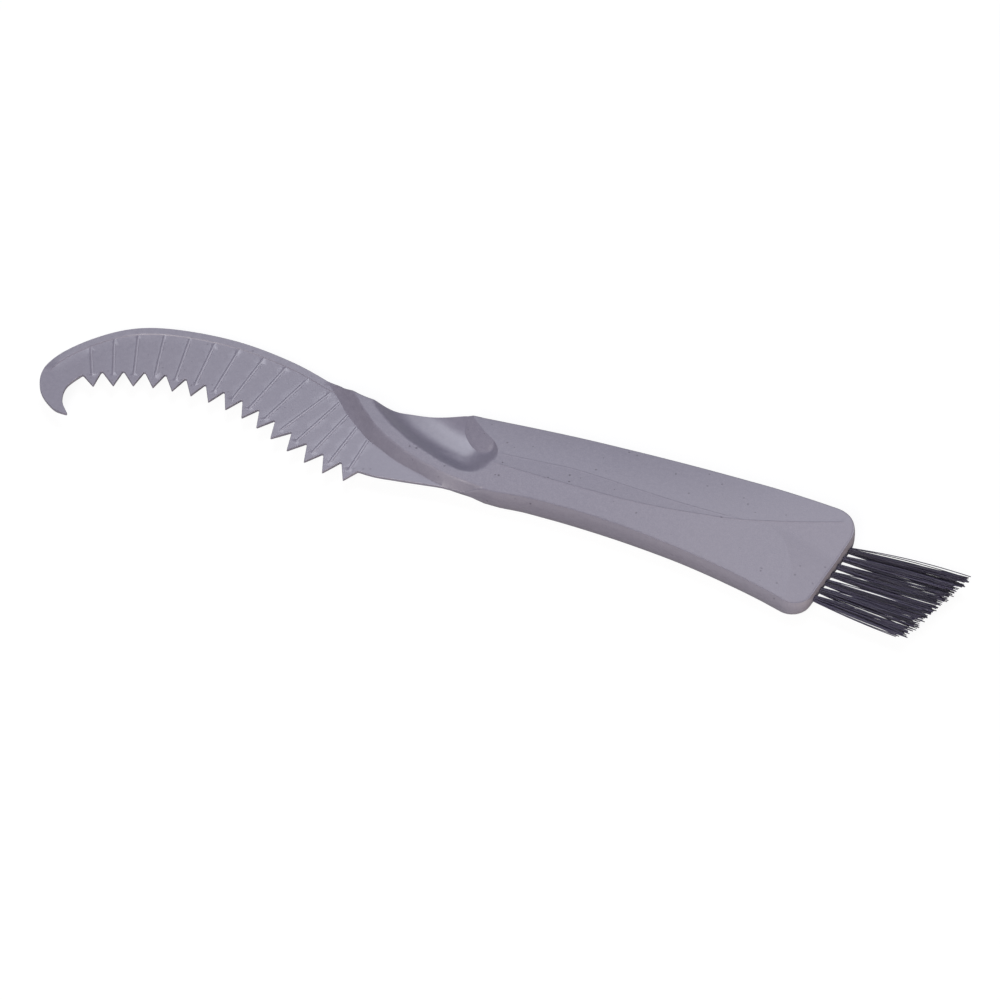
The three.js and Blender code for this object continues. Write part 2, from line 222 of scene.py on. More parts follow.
def wireMaterial():
    material, w = shade("drawn_brass")
    place = w.node("ShaderNodeTexCoord", {}, {}, "Object")
    drawn = w.node("ShaderNodeMapping", {}, {"Vector": place, "Scale": anchorWire["lines"]})
    lines = w.node("ShaderNodeTexNoise", {}, {"Vector": drawn, "Scale": 1, "Detail": 3})
    colour = mixColours(w, lines, linear4(anchorWire["dull"]), linear4(anchorWire["bright"]))
    rough = anchorWire["rough"] + lines * anchorWire["lineRough"]
    bump = w.node("ShaderNodeBump", {}, {
        "Strength": anchorWire["bump"], "Distance": anchorWire["bumpDepth"], "Height": lines})
    coat(w, w.node("ShaderNodeBsdfPrincipled", {}, {
        "Base Color": colour, "Roughness": rough, "Normal": bump, "Metallic": 1.0}))
    return material


lavenderPlastic = plasticMaterial()
darkNylon = nylonMaterial()
drawnBrass = wireMaterial()
print("finishes made")


# Plan sizes of the tool in millimetres, from the waist of the grip on its toothed side.
grip = {
    "half": 4.0, "waist": 22.5, "reach": 58.1, "nearRadius": 238, "nearEndRadius": 210, "farRadius": 526,
    "farCrest": 37, "endSkew": 11.8, "nearCorner": 5.2, "farCorner": 6.5, "neckRunOut": 34, "nearStart": -37.6,
    "farEdge": 0.6, "farTurn": 78, "wall": 8, "wallTurn": 20, "wallOut": 0.52, "wallOutEnd": 0.64, "heelOut": 0.4,
    "lip": 0.25, "lipDepth": 0.08,
    "neck": [(-65, 14.6), (-57.5, 14.3), (-52, 15.3), (-46, 16.45), (-37.2, 18.6)],
    "nearCrease": [(-26.1, 6.0), (-9.4, 6.2), (10.7, 7.1), (25.2, 9.2), (34.7, 11.1), (46, 14.9), (57.7, 19.6)],
    "farCrease": [(-26.5, 9.2), (-16, 10.3), (-6.6, 11.2), (8, 10.9), (20, 10.7), (34.7, 11.1)],
    "endCrease": [(34.7, 11.1), (42, 11.6), (45.9, 9.8), (48.5, 6.1), (50.6, 1.8), (51.1, -4.9)],
    "nearFall": [(-40, 1.3), (-24, 1.2), (-21, 1.1), (-17, 1.0), (-12, 0.85), (0, 0.78), (4, 0.8), (14, 0.95),
                 (24, 1.2), (35, 1.3), (42, 1.4), (52, 1.25), (60, 1.15)],
    "midFall": 0.021, "farCurl": 0.0045, "endFall": 0.08, "endDip": 0.5, "dipFrom": 36, "dipOver": 26,
    "panelFrom": 34, "endShare": 0.25, "seam": -0.05, "seamWidth": 0.25,
    "heelFrom": -28, "heelTo": -15, "heelGrow": 6, "heelFade": 8, "swellFrom": -10, "swellOver": 30,
    "wallFrom": -38, "wallOver": 8, "wallFacing": 0.75, "wallBlend": 0.6, "scoopEdge": 0.45, "thinLip": 0.02,
    "partingHalf": 0.12, "partingOut": 0.03,
}
claw = {
    "bladeHalf": 0.4, "rimHeight": 0.35, "rimWidth": 2.0, "rimSlope": 0.4, "edge": 0.1,
    "spine": [(-131.3, -15.3), (-135.7, -14.9), (-141.3, -10.6), (-143.5, -3.3), (-138.9, 5.9), (-129.7, 14.8),
              (-118.6, 19.3), (-102, 21.4), (-85.8, 20.1), (-72.6, 16.8)],
    "toothTips": [(-129.6, -4.7), (-118.1, -0.3), (-105.4, 1.3), (-90.9, -0.6), (-76.4, -6.0), (-65.9, -9.2),
                  (-59.6, -9.6)],
    "hookInner": [(-133.6, -2.3), (-135.6, -7.3), (-134.6, -11.8), (-131.3, -15.3)],
    "lowerEdge": [(-53, -5.7), (-48, -4.9), (-43, -4.0)],
    "ribTops": [(-135.8, 6.6), (-131.4, 11.2), (-126.2, 14.3), (-120.1, 17.1), (-113.6, 18.4), (-107.1, 19.1),
                (-100.5, 19.3), (-93.5, 19.0), (-87.1, 18.3), (-80.4, 16.9), (-73.3, 14.9), (-70.1, 12.5),
                (-66.6, 9.5), (-63.0, 6.7), (-58.9, 4.0)],
    "ribWidth": 0.7, "ribHeight": 0.52, "ribTaper": 4.0, "ribEnd": 0.12, "ribMark": 0.25, "ribRows": 30,
    "ribSides": 20, "rimFrom": 17, "rimOver": 9, "hookRadius": 0.25, "firstGapRadius": 0.35, "heelRadius": 0.5,
    "toothPitch": 4.98, "heelPitch": 5.66, "fineTeeth": 11, "heelTeeth": 4, "toothDepth": 4.95, "firstGapLean": -29.3,
    "gapLeanStep": 4.7, "heelRun": 2.4, "heelRise": 3.8, "tipRadius": 0.16, "rootRadius": 0.3,
}
step = {
    "foot": [(-73.4, 15.6), (-70.2, 12.9), (-67.2, 9.9), (-63.8, 7.4), (-59.2, 4.3), (-55.2, 2.6), (-50.9, 0.8),
             (-47, -0.3), (-43.5, -1.05), (-40.5, -1.9), (-37.6, -2.45), (-35, -2.55), (-32.6, -2.45), (-30.2, -2.4),
             (-27.5, -2.7), (-24.5, -3.1), (-21, -3.7), (-17, -4.4)],
    "ridge": [(-67.6, 14.7), (-65.2, 12.8), (-63.4, 11.0), (-60.6, 8.7), (-58.4, 6.9), (-54.9, 4.9), (-51.6, 3.4),
              (-49.1, 2.4), (-46.5, 1.6), (-43.2, 0.6), (-40, 0.05), (-38.2, -0.4), (-34.2, -0.9), (-30.3, -1.05),
              (-26.9, -1.25), (-24.5, -1.65), (-22, -2.1), (-19.5, -2.6), (-16, -3.3)],
    "kink": [(-64, 5.2), (-61.8, 5.9), (-57.9, 6.4), (-55, 7.0)], "kinkBlend": 2.4, "upperPower": 1.3, "bulge": 0.07,
    "groove": 0.1, "grooveWidth": 0.22, "grooveEnd": -27, "grooveFade": 4, "overrun": 9,
}
scoop = {
    "border": [(-66, 21), (-61.8, 13.5), (-58.3, 10.3), (-55.5, 8.4), (-52.6, 6.6), (-49.6, 5.1), (-46.9, 4.1),
               (-43.9, 3.1), (-40.9, 2.2), (-38, 1.5), (-35.2, 1.05), (-32.7, 0.8), (-30.3, 1.15), (-28.3, 2.35),
               (-26.9, 4.5), (-26.4, 7.0), (-26.7, 9.3), (-27.6, 11.1), (-29.2, 12.7), (-32.3, 14.6), (-35.2, 16.9),
               (-40, 21)],
    "bowlTop": 11.0, "depth": 2.95, "half": 7.7, "farHalf": 10.2, "run": 9.0, "power": 2.0, "brim": 1.0,
    "axis": (0.943, -0.332), "tip": (-26.4, 7.3), "straight": 73, "facetSlope": 0.7,
    "spans": 8, "troughRun": 16, "facetRun": 12, "creaseSearch": (0.2, 9, 177),
}
row = {"offset": 14.15, "tufts": 7, "pitch": 2.74, "holeDepth": 8, "holeRadius": 0.82, "holeSides": 24,
       "anchorWidth": 1.6}
tuft = {"reach": 25.1, "tipPitch": 3.2, "tipSkew": 24.5, "tipDrift": -0.4, "strands": 46, "strandRadius": 0.12,
        "pack": 0.64, "tipWidth": 1.6, "tipHeight": 1.4, "ragged": 1.2, "stray": 0.45, "bow": 0.5, "rootIn": 2,
        "spiral": 2.399963, "jitter": 0.5, "fan": 1.1, "rows": 14, "sides": 6, "perNode": 2, "seed": 7,
        "seedStep": 20}
# Lengths of mesh edges in millimetres, and the angle of a fold in degrees.
meshing = {"outline": 0.55, "blade": 2.2, "grip": 1.1, "scoop": 0.55, "rim": 0.6, "border": 0.45, "crease": 0.7,
           "ridge": 0.5, "clear": 0.3, "foldAngle": 26, "foldGap": 0.004}


def smooth(value):
    value = np.clip(value, 0, 1)
    return value * value * (3 - 2 * value)


def nearEdge(x):
    radius = np.where(np.asarray(x) < 0, grip["nearRadius"], grip["nearEndRadius"])
    grown = smooth((x - grip["heelFrom"]) / grip["heelGrow"]) * smooth((grip["heelTo"] - x) / grip["heelFade"])
    return np.sqrt(radius ** 2 - x ** 2) - radius - grip["heelOut"] * grown


def wallFoot(x):
    # The near wall swells a little beyond the edge of the face.
    toEnd = smooth((x - grip["swellFrom"]) / grip["swellOver"])
    swell = grip["wallOut"] + (grip["wallOutEnd"] - grip["wallOut"]) * toEnd
    return nearEdge(x) - swell * smooth((x - grip["wallFrom"]) / grip["wallOver"])


def farEdge(x):
    r, shift = grip["farRadius"], grip["farCrest"]
    return grip["waist"] - math.sqrt(r * r - shift * shift) + np.sqrt(r * r - (x - shift) ** 2)


skewSlope = math.tan(math.radians(grip["endSkew"]))
endLine = lambda y: grip["reach"] + y * skewSlope


def endCorner(edge):
    x = endLine(edge(grip["reach"]))
    return np.array([x, edge(x)])


nearCorner, farCorner = endCorner(nearEdge), endCorner(farEdge)
rowMiddle = np.array([endLine(nearCorner[1] + row["offset"]), nearCorner[1] + row["offset"]])
rowLine = np.array([math.sin(math.radians(grip["endSkew"])), math.cos(math.radians(grip["endSkew"]))])

# The middle anchor ties the plan to the frame.
low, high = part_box("tuft_anchor_4")
anchorPlan = rowMiddle - [row["holeDepth"] - row["anchorWidth"], 0]
anchorMiddle = np.array([(low.x + high.x) / 2 / mm, (low.y + high.y) / 2 / mm])
planShift = np.array([*(anchorMiddle - anchorPlan), grip["half"]])


def inFrame(points):
    return (np.asarray(points, float) + planShift) * mm


def through(places, spans=12):
    p = np.array(places, float)
    p = np.vstack([p[:1], p, p[-1:]])
    t = np.linspace(0, 1, spans, endpoint=False)[:, None]
    runs = []
    for a, b, c, d in zip(p, p[1:], p[2:], p[3:]):
        u, v = (c - a) / 2, (d - b) / 2
        runs.append((2 * b - 2 * c + u + v) * t ** 3 + (3 * c - 3 * b - 2 * u - v) * t ** 2 + u * t + b)
    return np.vstack([*runs, p[-1:]])


def lengthAlong(points):
    return np.concatenate([[0], np.cumsum(np.linalg.norm(np.diff(points, axis=0), axis=1))])


def evenly(points, stride):
    # The same line with a point at every stride.
    far = lengthAlong(points)
    at = np.linspace(0, far[-1], max(2, int(round(far[-1] / stride)) + 1))
    return np.stack([np.interp(at, far, points[:, 0]), np.interp(at, far, points[:, 1])], 1)


def overrun(line, length):
    start = line[0] + (line[0] - line[1]) / np.linalg.norm(line[0] - line[1]) * length
    stop = line[-1] + (line[-1] - line[-2]) / np.linalg.norm(line[-1] - line[-2]) * length
    return np.vstack([start, line, stop])


def roundOff(before, corner, after, radius, steps=4):
    into, out = before - corner, after - corner
    into, out = into / np.linalg.norm(into), out / np.linalg.norm(out)
    half = math.acos(np.clip(into @ out, -1, 1)) / 2
    centre = corner + (into + out) / np.linalg.norm(into + out) * radius / math.sin(half)
    first, last = into * radius / math.tan(half) + corner - centre, out * radius / math.tan(half) + corner - centre
    a, b = math.atan2(first[1], first[0]), math.atan2(last[1], last[0])
    sweep = (b - a + math.pi) % (2 * math.pi) - math.pi
    turns = a + sweep * np.linspace(0, 1, steps + 1)
    return centre + radius * np.stack([np.cos(turns), np.sin(turns)], 1)


def gapTo(points, line):
    # Distance to a line, above zero on its left.
    a, d = line[:-1], np.diff(line, axis=0)
    size = (d * d).sum(1)
    found = []
    for part in np.array_split(points, max(1, len(points) * len(a) // 2000000)):
        rel = part[:, None, :] - a[None]
        t = np.clip((rel * d).sum(2) / size, 0, 1)
        off = rel - t[..., None] * d
        gap = (off * off).sum(2)
        best = gap.argmin(1)
        index = np.arange(len(part))
        side = d[best, 0] * rel[index, best, 1] - d[best, 1] * rel[index, best, 0]
        found.append(np.sqrt(gap[index, best]) * np.where(side >= 0, 1, -1))
    return np.concatenate(found)


def inside(points, loop):
    a, b = loop, np.roll(loop, -1, 0)
    found = []
    for part in np.array_split(points, max(1, len(points) * len(a) // 2000000)):
        x, y = part[:, :1], part[:, 1:]
        crosses = (a[:, 1] > y) != (b[:, 1] > y)
        with np.errstate(divide="ignore", invalid="ignore"):
            cut = (b[:, 0] - a[:, 0]) * (y - a[:, 1]) / (b[:, 1] - a[:, 1]) + a[:, 0]
        found.append((crosses & (x < cut)).sum(1) % 2 == 1)
    return np.concatenate(found)


spine = through(claw["spine"], 16)
footLine = through(step["foot"])
ridgeLine = through(step["ridge"])
footSide, ridgeSide = overrun(footLine, step["overrun"]), overrun(ridgeLine, step["overrun"])
nearCrease = through(grip["nearCrease"])
farCrease = through(grip["farCrease"])
endCrease = through(grip["endCrease"])
creaseSide = np.vstack([[-90, 9.0], nearCrease, nearCrease[-1] + [14, 6]])
farSide = np.vstack([[-90, 9.2], farCrease, nearCrease[nearCrease[:, 0] > 35.5], nearCrease[-1] + [14, 6]])
endSide = overrun(endCrease, 6)[1:]
kinkLine = np.array(step["kink"], float)
scoopBorder = through(scoop["border"], scoop["spans"])
ballEnd = scoopBorder[:, 0].argmax()
facetEnd = ballEnd + (scoopBorder[ballEnd:, 1] > scoop["bowlTop"]).argmax()
facetStart = facetEnd + scoop["spans"]
bowlBorder, facetLine = scoopBorder[:facetStart + 1], scoopBorder[facetStart:]
facetBorder = np.vstack([facetLine[0] + [scoop["facetRun"], 0], overrun(facetLine, scoop["facetRun"])[1:]])
troughSide = overrun(scoopBorder[:scoop["straight"]], scoop["troughRun"])


def scoopDip(points):
    # A round trough with a blunt end and a flat far wall, open at the far edge. Also the share of that wall.
    within = gapTo(points, scoopBorder)
    across = 1 - gapTo(points, troughSide) / scoop["half"]
    across = np.where(across < 0, -across * scoop["half"] / scoop["farHalf"], across)
    along = np.maximum(1 - ((np.array(scoop["tip"]) - points) @ np.array(scoop["axis"])) / scoop["run"], 0)
    out = np.clip(across ** 3 + along ** 3, 0, 1)
    trough = scoop["depth"] * (1 - out) ** scoop["power"] * smooth(gapTo(points, bowlBorder) / scoop["brim"])
    flat = scoop["facetSlope"] * np.maximum(gapTo(points, facetBorder), 0)
    return np.where(within > 0, np.minimum(trough, flat), 0), (within > 0) * (flat < trough)


def facetCrease():
    # Where the flat wall meets the trough.
    found = []
    side = facetLine[-1] - facetLine[0]
    inward = np.array([-side[1], side[0]]) / np.linalg.norm(side)
    reach = np.linspace(*scoop["creaseSearch"])[:, None]
    for start in evenly(facetBorder[1:], 0.5):
        ray = start + inward * reach
        flats = scoopDip(ray)[1]
        if flats[:8].all() and not flats.all():
            found.append(ray[np.argmin(flats)])
    return np.array(found)


def climb(points):
    # Nought on the blade, one on the grip, and the share of the slope between them.
    foot, ridge = gapTo(points, footSide), gapTo(points, ridgeSide)
    share = np.where(ridge >= 0, 1.0, np.where(foot <= 0, 0.0, foot / np.maximum(foot - ridge, 1e-6)))
    return share, ridge


def faceHeight(points):
    share, ridge = climb(points)
    away = np.abs(gapTo(points, spine))
    far = lengthAlong(spine)
    nearest = np.interp(points[:, 0], spine[:, 0][spine[:, 1] > -3], far[spine[:, 1] > -3])
    rise = claw["rimHeight"] * smooth((nearest - claw["rimFrom"]) / claw["rimOver"]) * (points[:, 1] > -4)
    blade = claw["bladeHalf"] + rise * np.clip((claw["rimWidth"] - away) / claw["rimSlope"] + 0.5, 0, 1)
    x = points[:, 0]
    fade = np.clip((grip["reach"] - x) / grip["reach"], 0, 1)
    crease = gapTo(points, creaseSide)
    past, before = np.maximum(crease, 0), np.maximum(-crease, 0)
    beyond = np.maximum(gapTo(points, farSide), 0)
    panel = np.maximum(np.minimum(gapTo(points, endSide), -crease), 0) * (x > grip["panelFrom"])
    fall = grip["endShare"] + (1 - grip["endShare"]) * fade
    top = grip["half"] - (grip["midFall"] * past + grip["farCurl"] * beyond ** 2) * fall
    width = np.interp(x, nearCrease[:, 0], nearCrease[:, 1]) - nearEdge(np.clip(x, -60, 70))
    top = top - np.interp(x, *np.transpose(grip["nearFall"])) * np.minimum(before / width, 1.2)
    top = top - grip["endFall"] * panel - grip["endDip"] * smooth((x - grip["dipFrom"]) / grip["dipOver"])
    for line in (nearCrease, farCrease):
        top = top - grip["seam"] * np.clip(1 - np.abs(gapTo(points, line)) / grip["seamWidth"], 0, 1)
    dip, facet = scoopDip(points)
    top = top - dip
    upper = smooth(gapTo(points, kinkLine) / step["kinkBlend"] + 0.5)
    rise = upper * share ** step["upperPower"] + (1 - upper) * (share + step["bulge"] * np.sin(math.pi * share))
    ramp = blade + (top - blade) * rise
    groove = step["groove"] * smooth((step["grooveEnd"] - x) / step["grooveFade"])
    ramp = ramp - groove * np.clip(1 - np.abs(ridge) / step["grooveWidth"], 0, 1)
    return np.maximum(ramp, blade), share, dip, facet


def toothTips():
    line = through(claw["toothTips"], 40)
    far = lengthAlong(line)
    gaps = [claw["toothPitch"]] * (claw["fineTeeth"] - 1) + [claw["heelPitch"]] * claw["heelTeeth"]
    at = np.minimum(np.concatenate([[0], np.cumsum(gaps)]), far[-1])
    return np.stack([np.interp(at, far, line[:, 0]), np.interp(at, far, line[:, 1])], 1)


tips = toothTips()


def handleOutline():
    lastTip = tips[-1]
    heel = lastTip + [claw["heelRun"], claw["heelRise"]]
    corner = endCorner(wallFoot)
    nearX = np.linspace(grip["nearStart"], corner[0] - 2 * grip["nearCorner"], 60)
    nearRun = np.stack([nearX, wallFoot(nearX)], 1)
    farX = np.linspace(farCorner[0] - 2 * grip["farCorner"], -grip["neckRunOut"], 60)
    farRun = np.stack([farX, farEdge(farX)], 1)
    neck = through([claw["spine"][-1], *grip["neck"], farRun[-1]])
    hook = through(claw["hookInner"])
    zigzag = [hook[0]]
    for i, tip in enumerate(tips):
        if i:
            lean = claw["firstGapLean"] + claw["gapLeanStep"] * (i - 1 - 2 * max(0, i - claw["fineTeeth"]))
            lean = math.radians(lean)
            zigzag.append((tips[i - 1] + tip) / 2 + claw["toothDepth"] * np.array([math.sin(lean), math.cos(lean)]))
        zigzag.append(tip)
    zigzag.append(heel)
    teeth = []
    for i in range(1, len(zigzag) - 1):
        radius = claw["tipRadius"] if i % 2 else claw["rootRadius"]
        teeth.append(roundOff(zigzag[i - 1], zigzag[i], zigzag[i + 1], radius))
    hookTip = roundOff(spine[5], spine[0], hook[-5], claw["hookRadius"])
    firstGap = roundOff(hook[2], hook[0], tips[0], claw["firstGapRadius"])
    lower = through([heel, *claw["lowerEdge"], nearRun[0]])
    loop = np.vstack([
        roundOff(lastTip, heel, lower[8], claw["heelRadius"]),
        lower[6:-1],
        nearRun,
        roundOff(nearRun[-1], corner, farCorner, grip["nearCorner"], 14),
        roundOff(corner, farCorner, farRun[0], grip["farCorner"], 14),
        farRun[:-1],
        neck[::-1],
        spine[5:-1][::-1],
        hookTip,
        hook[2:-4][::-1],
        firstGap,
        *teeth,
    ])
    return closedEvenly(loop, meshing["outline"])


def closedEvenly(loop, stride):
    # Splits the long runs of a closed loop and keeps its corners.
    rows = []
    for a, b in zip(loop, np.roll(loop, -1, 0)):
        length = np.linalg.norm(b - a)
        if length < 0.02:
            continue
        parts = max(1, int(math.ceil(length / stride)))
        rows.append(a + (b - a) * np.linspace(0, 1, parts, endpoint=False)[:, None])
    return np.vstack(rows)


def inwardOf(loop):
    d = np.roll(loop, -1, 0) - loop
    d /= np.linalg.norm(d, axis=1)[:, None]
    n = np.stack([-d[:, 1], d[:, 0]], 1)
    both = n + np.roll(n, 1, 0)
    both /= np.maximum(np.linalg.norm(both, axis=1), 1e-6)[:, None]
    miter = 1 / np.clip((both * n).sum(1), 0.7, 1)
    return both * miter[:, None]


def beside(line, gap):
    # The same line, moved to its left.
    d = np.gradient(line, axis=0)
    d /= np.linalg.norm(d, axis=1)[:, None]
    return line + gap * np.stack([-d[:, 1], d[:, 0]], 1)


def meshLines(loop):
    # Lines that the face is folded along, cut to stay inside the outline.
    rim = spine[lengthAlong(spine) > 16]
    lines = [
        (evenly(beside(rim, 0.1 - claw["rimWidth"]), meshing["rim"]), "blade"),
        (evenly(beside(rim, -0.1 - claw["rimWidth"]), meshing["rim"]), "blade"),
        (evenly(footSide, meshing["rim"]), "all"),
        (evenly(scoopBorder, meshing["border"]), "grip"),
        (evenly(facetCrease(), meshing["border"]), "grip"),
        (evenly(endCrease[2:], meshing["crease"]), "flat"),
    ]
    for gap in (-1, 0, 1):
        lines.append((evenly(beside(ridgeSide, gap * step["grooveWidth"]), meshing["ridge"]), "all"))
        for crease in (nearCrease, farCrease[:-3]):
            lines.append((evenly(beside(crease, gap * grip["seamWidth"]), meshing["crease"]), "flat"))
    kept = []
    for line, where in lines:
        good = inside(line, loop) & (np.abs(gapTo(line, np.vstack([loop, loop[:1]]))) > meshing["clear"])
        share, ridge = climb(line)
        if where == "blade":
            good &= (share <= 0) & (gapTo(line, footSide) < -0.5)
        if where in ("grip", "flat"):
            good &= ridge > 0.8
        if where == "flat":
            good &= scoopDip(line - [0.5, 0])[0] <= 0
        kept.append((line, good))
    return kept


def fillPoints(loop, lines):
    low, high = loop.min(0), loop.max(0)
    found = []
    for zone in ("blade", "grip", "scoop"):
        spacing = meshing[zone]
        xs = np.arange(low[0], high[0], spacing)
        ys = np.arange(low[1], high[1], spacing * 0.866)
        grid = np.stack(np.meshgrid(xs, ys), -1)
        grid[1::2, :, 0] += spacing / 2
        points = grid.reshape(-1, 2)
        points = points[inside(points, loop)]
        share, ridge = climb(points)
        dip = scoopDip(points)[0]
        chosen = {"blade": share <= 0, "grip": (share > 0) & (dip <= 0), "scoop": (dip > 0) & (ridge > 0)}[zone]
        points = points[chosen]
        clear = np.abs(gapTo(points, np.vstack([loop, loop[:1]]))) > spacing * 0.4
        for line, good in lines:
            near = line[good]
            if len(near) > 1:
                clear &= np.abs(gapTo(points, near)) > min(spacing * 0.4, meshing["clear"])
        found.append(points[clear])
    return np.vstack(found)


def withinRing(faces, ring):
    # Drops the triangles that lie between the ring and its hull.
    wall = {frozenset(pair) for pair in zip(ring, ring[1:] + ring[:1])}
    beside = {}
    for k, f in enumerate(faces):
        for pair in zip(f, f[1:] + f[:1]):
            beside.setdefault(frozenset(pair), []).append(k)
    outer = [ks[0] for pair, ks in beside.items() if len(ks) == 1 and pair not in wall]
    dropped = set(outer)
    while outer:
        f = faces[outer.pop()]
        for pair in zip(f, f[1:] + f[:1]):
            if frozenset(pair) not in wall:
                new = set(beside[frozenset(pair)]) - dropped
                dropped |= new
                outer += new
    return [f for k, f in enumerate(faces) if k not in dropped]


def wallProfile(loop, inward):
    # Inset, height and wear at each step from the foot of the wall to the face. The near side and the end are
    # rounded walls under a fine lip. The far side has a small round.
    share, dip = climb(loop)[0], scoopDip(loop)[0]
    nearness = smooth((inward[:, 1] + grip["wallFacing"]) / grip["wallBlend"]) * share
    far = grip["farEdge"] * (1 - grip["scoopEdge"] * smooth(dip / 0.5))
    kernel = np.ones(9) / 9
    soften = lambda row: np.convolve(np.concatenate([row[-4:], row, row[:4]]), kernel, "valid")
    edge, nearness = soften(claw["edge"] + (far - claw["edge"]) * share), soften(nearness)
    tall = np.maximum(faceHeight(loop + inward * 0.9)[0] - 0.15, 0.08)
    farTurn, wallTurn = math.radians(grip["farTurn"]), math.radians(grip["wallTurn"])
    wall = np.minimum(grip["wall"], tall / math.sin(wallTurn))
    lip = grip["thinLip"] + (grip["lip"] - grip["thinLip"]) * nearness

    def bend(radius, turn, part):
        t = turn * part
        inset, height = radius * (1 - math.cos(t)), radius * (math.sin(t) - math.sin(turn))
        return np.stack([inset, height, 0 * lip + math.sin(2 * t)])

    profile = []
    for part in np.linspace(0, 1, 6):
        small = bend(edge, farTurn, part)
        profile.append(tuple(small + (bend(wall, wallTurn, part) - small) * nearness))
    wallTop = profile[-1][0]
    profile.append((wallTop + lip, -grip["lipDepth"] * nearness, 0 * lip))
    profile.append((wallTop + 2 * lip, 0 * lip, 0 * lip))
    return profile, edge + (wall - edge) * nearness


def faceMesh(inner):
    # The face inside the inner ring: its points in plan, its triangles, the ring among its points, its folds.
    lines = meshLines(inner)
    points, used, edges = [inner], [np.ones(len(inner), bool)], []
    count = len(inner)
    for line, good in lines:
        edges += [(count + i, count + i + 1) for i in range(len(line) - 1) if good[i] and good[i + 1]]
        points.append(line)
        used.append(good)
        count += len(line)
    filling = fillPoints(inner, lines)
    points = np.vstack([*points, filling])
    used = np.concatenate([*used, np.ones(len(filling), bool)])
    renumber = np.cumsum(used) - 1
    flat = [Vector(p) for p in points[used]]
    joined = [(int(renumber[a]), int(renumber[b])) for a, b in edges]
    verts, _, faces, fromVerts, _, _ = delaunay_2d_cdt(flat, joined, [list(range(len(inner)))], 1, 1e-5, True)
    plan = np.array([(v.x, v.y) for v in verts])
    ringAt = {source: place for place, sources in enumerate(fromVerts) for source in sources}
    ringIndex = np.array([ringAt[i] for i in range(len(inner))])
    triangles = [tuple(f) for f in withinRing(faces, ringIndex.tolist())]
    folds = [np.vstack([inner, inner[:1]]), *[line[good] for line, good in lines if good.sum() > 1]]
    return plan, triangles, ringIndex, folds


def buildHandle():
    loop = handleOutline()
    inward = inwardOf(loop)
    profile, radius = wallProfile(loop, inward)
    rings = [loop + inward * inset[:, None] for inset, _, _ in profile]
    plan, polygons, ringIndex, folds = faceMesh(rings[-1])
    z, share, dip, facet = faceHeight(plan)
    grain = grainOf(plan, share, dip, facet)
    top = [np.column_stack([plan, z])]
    marks = [np.column_stack([grain, np.zeros(len(plan))])]
    layer = [ringIndex]
    size, n = len(plan), len(loop)
    for ring, (_, height, rub) in list(zip(rings, profile))[-2::-1]:
        top.append(np.column_stack([ring, z[ringIndex] + height]))
        marks.append(np.column_stack([grain[ringIndex] * (rub < 0.5), rub * smooth(radius / 0.6)]))
        layer.append(np.arange(size, size + n))
        size += n
    top, marks = np.vstack(top), np.vstack(marks)
    for held, new in zip(layer, layer[1:]):
        for i in range(n):
            j = (i + 1) % n
            polygons.append((held[i], new[i], new[j], held[j]))
    polygons += [tuple(size + k for k in f[::-1]) for f in polygons]
    bottom = top * [1, 1, -1]
    # The wall, with a faint parting line round the middle.
    rim = layer[-1]
    seam = []
    total = 2 * size
    for height, out in ((grip["partingHalf"], 0.0), (0.0, grip["partingOut"]), (-grip["partingHalf"], 0.0)):
        seam.append(np.column_stack([loop - inward * out, np.full(n, height)]))
    wallRows = [rim, *[np.arange(total + k * n, total + (k + 1) * n) for k in range(3)], rim + size]
    for upper, lower in zip(wallRows, wallRows[1:]):
        for i in range(n):
            j = (i + 1) % n
            polygons.append((upper[j], upper[i], lower[i], lower[j]))
    everything = np.vstack([top, bottom, *seam])
    marks = np.vstack([marks, marks, np.zeros((3 * n, 2))])
    mesh = bpy.data.meshes.new("moulded_handle")
    mesh.from_pydata(inFrame(everything).tolist(), [], [tuple(int(k) for k in f) for f in polygons])
    for name, column in (("grain", 0), ("wear", 1)):
        mesh.attributes.new(name, "FLOAT", "POINT").data.foreach_set("value", marks[:, column].astype(np.float32))
    mesh.validate()
    return mesh, folds


def markFolds(mesh, lines):
    # Sharp edges: the steep ones, and those that lie along a fold line.
    mesh.polygons.foreach_set("use_smooth", [True] * len(mesh.polygons))
    mesh.set_sharp_from_angle(angle=math.radians(meshing["foldAngle"]))
    points = [(x, y, 0, k) for k, line in enumerate(lines) for x, y in line]
    finder = KDTree(len(points))
    for k, (x, y, z, _) in enumerate(points):
        finder.insert((x, y, z), k)
    finder.balance()
    owner = np.full(len(mesh.vertices), -1)
    for vertex in mesh.vertices:
        x, y, _ = np.array(vertex.co) / mm - planShift
        _, k, gap = finder.find((x, y, 0))
        if gap < meshing["foldGap"]:
            owner[vertex.index] = points[k][3]
    pairs = np.zeros(len(mesh.edges) * 2, np.int32)
    mesh.edges.foreach_get("vertices", pairs)
    pairs = pairs.reshape(-1, 2)
    sharp = mesh.attributes.get("sharp_edge") or mesh.attributes.new("sharp_edge", "BOOLEAN", "EDGE")
    flags = np.zeros(len(mesh.edges), bool)
    sharp.data.foreach_get("value", flags)
    ends = owner[pairs]
    flags |= (ends[:, 0] >= 0) & (ends[:, 0] == ends[:, 1])
    sharp.data.foreach_set("value", flags)


def grainOf(plan, share, dip, facet):
    nearSide = 0.8 + 0.2 * smooth(-gapTo(plan, farSide) / 0.4 + 0.5)
    onGrip = nearSide * (dip <= 0.01) * (share >= 1)
    return np.maximum.reduce([onGrip, facet, 0.55 * (share <= 0), 0.7 * (share > 0) * (share < 1)])


handleMesh, foldLines = buildHandle()
print("handle shaped:", len(handleMesh.polygons), "faces")


